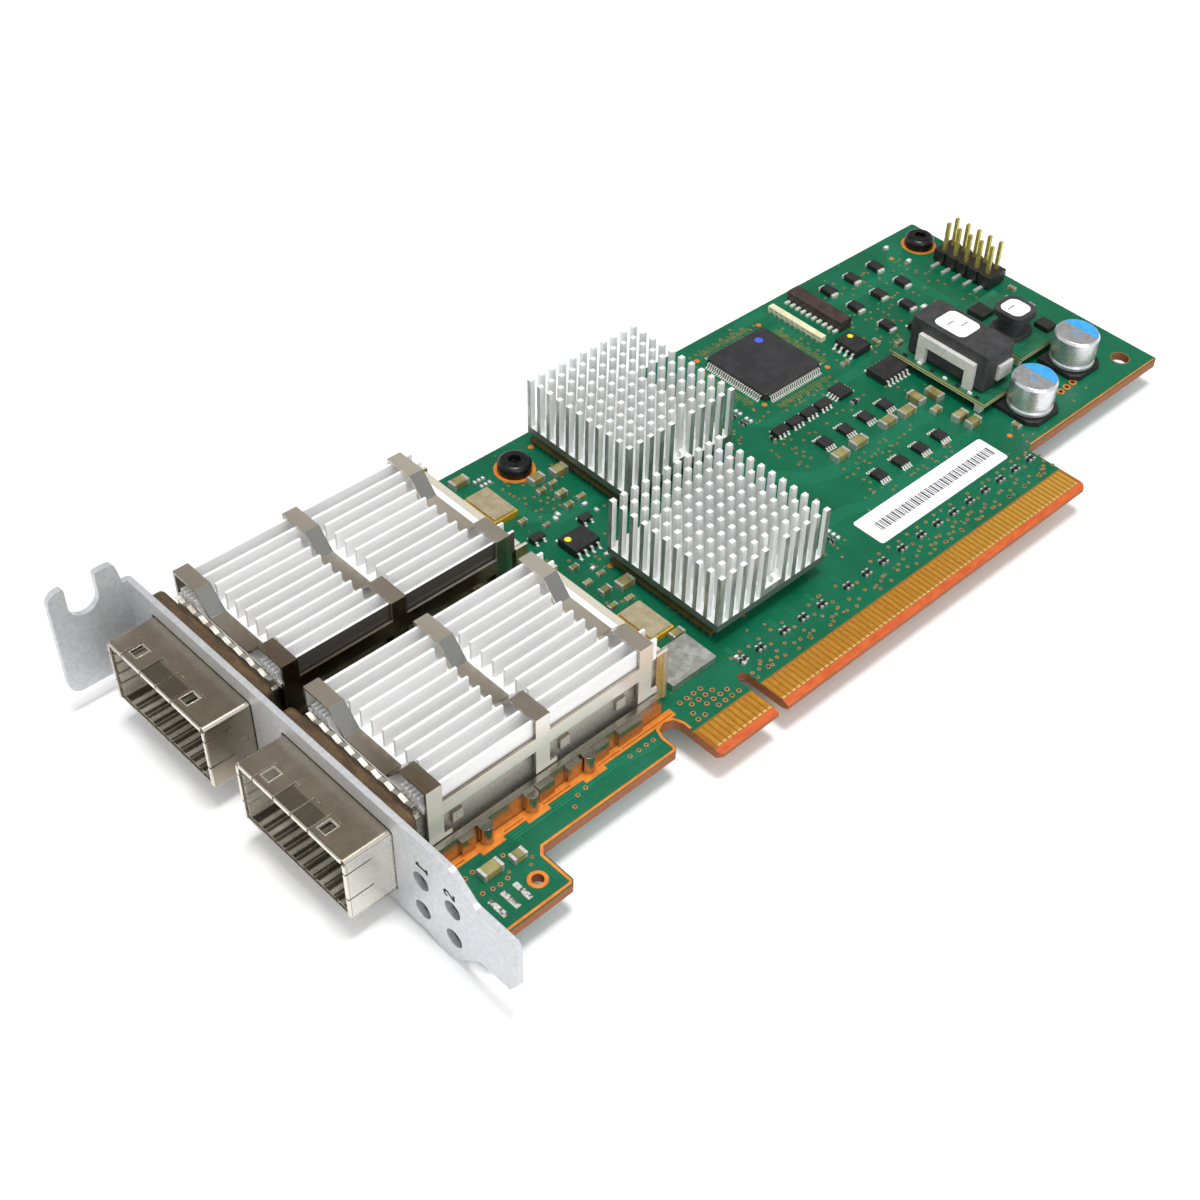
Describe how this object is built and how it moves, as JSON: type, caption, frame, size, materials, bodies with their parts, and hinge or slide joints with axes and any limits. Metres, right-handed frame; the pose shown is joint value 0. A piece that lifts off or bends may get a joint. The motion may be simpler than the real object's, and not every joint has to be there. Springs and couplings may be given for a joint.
{
  "type": "host bus adapter card",
  "caption": "Low-profile server add-in card with edge connector, slotted bracket, caged cable ports under clipped riding heat sinks, pin-fin heat sinks and a power module.",
  "frame": {"origin": "corner of the edge connector nearest the bracket, at the bottom edge of the contacts, on the component face of the board", "axes": "+X along the card away from the bracket, +Y from the edge connector to the back edge, +Z out of the component face"},
  "size_m": [0.1798, 0.0792, 0.0217],
  "materials": {
    "board_green": "satin solder mask",
    "gold_plate": "gold plated",
    "bracket_steel": "zinc plated",
    "rivet_steel": "plain",
    "lamp_plastic": "milky",
    "substrate": "satin",
    "package_lid": "nickel plated",
    "solder": "tinned",
    "thermal_pad": "matt",
    "cast_fins": "satin",
    "chip_black": "matt",
    "tinned_lead": "tinned",
    "ceramic_tan": "satin",
    "oscillator_base": "gold rim",
    "oscillator_lid": "nickel",
    "tin_can": "tinned",
    "connector_black": "matt",
    "cream_plastic": "matt",
    "gold_pin": "gold plated",
    "module_green": "satin",
    "ferrite": "matt",
    "winding_tin": "tinned",
    "can_aluminium": "bright",
    "black_screw": "black oxide",
    "nut_steel": "plain",
    "label_white": "matt",
    "cage_steel": "nickel plated",
    "cage_pan": "nickel plated",
    "spring_metal": "nickel plated",
    "gasket_fabric": "conductive cloth",
    "white_sink": "satin",
    "clip_steel": "bright"
  },
  "bodies": {
    "root": {"board_connector_body": "connector_black", "board_connector_pins": "tinned_lead", "board_screws": "black_screw", "bracket": "bracket_steel", "bracket_rivets": "rivet_steel", "capacitor_bases": "connector_black", "capacitor_cans": "can_aluminium", "capacitor_end_caps": "tinned_lead", "ceramic_capacitor_bodies": "ceramic_tan", "chip_leads": "tinned_lead", "circuit_board": "board_green", "controller_lids": "package_lid", "controller_solder_balls": "solder", "controller_substrates": "substrate", "coupling_capacitor_bodies": "ceramic_tan", "edge_contacts": "gold_plate", "header_housing": "connector_black", "header_pins": "gold_pin", "indicator_lamps": "lamp_plastic", "logic_chip_bodies": "chip_black", "memory_chip_bodies": "chip_black", "module_board": "module_green", "module_chips": "chip_black", "module_drum_inductor": "ferrite", "module_inductor": "ferrite", "module_inductor_winding": "winding_tin", "module_supports": "solder", "oscillator_bases": "oscillator_base", "oscillator_lids": "oscillator_lid", "paper_label": "label_white", "pin_heat_sink_left": "cast_fins", "pin_heat_sink_right": "cast_fins", "port_1_cage_base": "cage_pan", "port_1_cage_cover": "cage_steel", "port_1_contact_strip": "spring_metal", "port_1_contacts": "gold_pin", "port_1_gasket": "gasket_fabric", "port_1_heat_sink": "white_sink", "port_1_heat_sink_clip": "clip_steel", "port_1_receptacle": "connector_black", "port_1_spring_fingers": "spring_metal", "port_2_cage_base": "cage_pan", "port_2_cage_cover": "cage_steel", "port_2_contact_strip": "spring_metal", "port_2_contacts": "gold_pin", "port_2_gasket": "gasket_fabric", "port_2_heat_sink": "white_sink", "port_2_heat_sink_clip": "clip_steel", "port_2_receptacle": "connector_black", "port_2_spring_fingers": "spring_metal", "power_diode_bodies": "chip_black", "power_diode_terminals": "tinned_lead", "quad_flat_chip_body": "chip_black", "quad_flat_chip_leads": "tinned_lead", "resistor_network_bodies": "chip_black", "ribbon_connector": "cream_plastic", "screw_nuts": "nut_steel", "shield_can": "tin_can", "thermal_pads": "thermal_pad"}
  },
  "joints": []
}
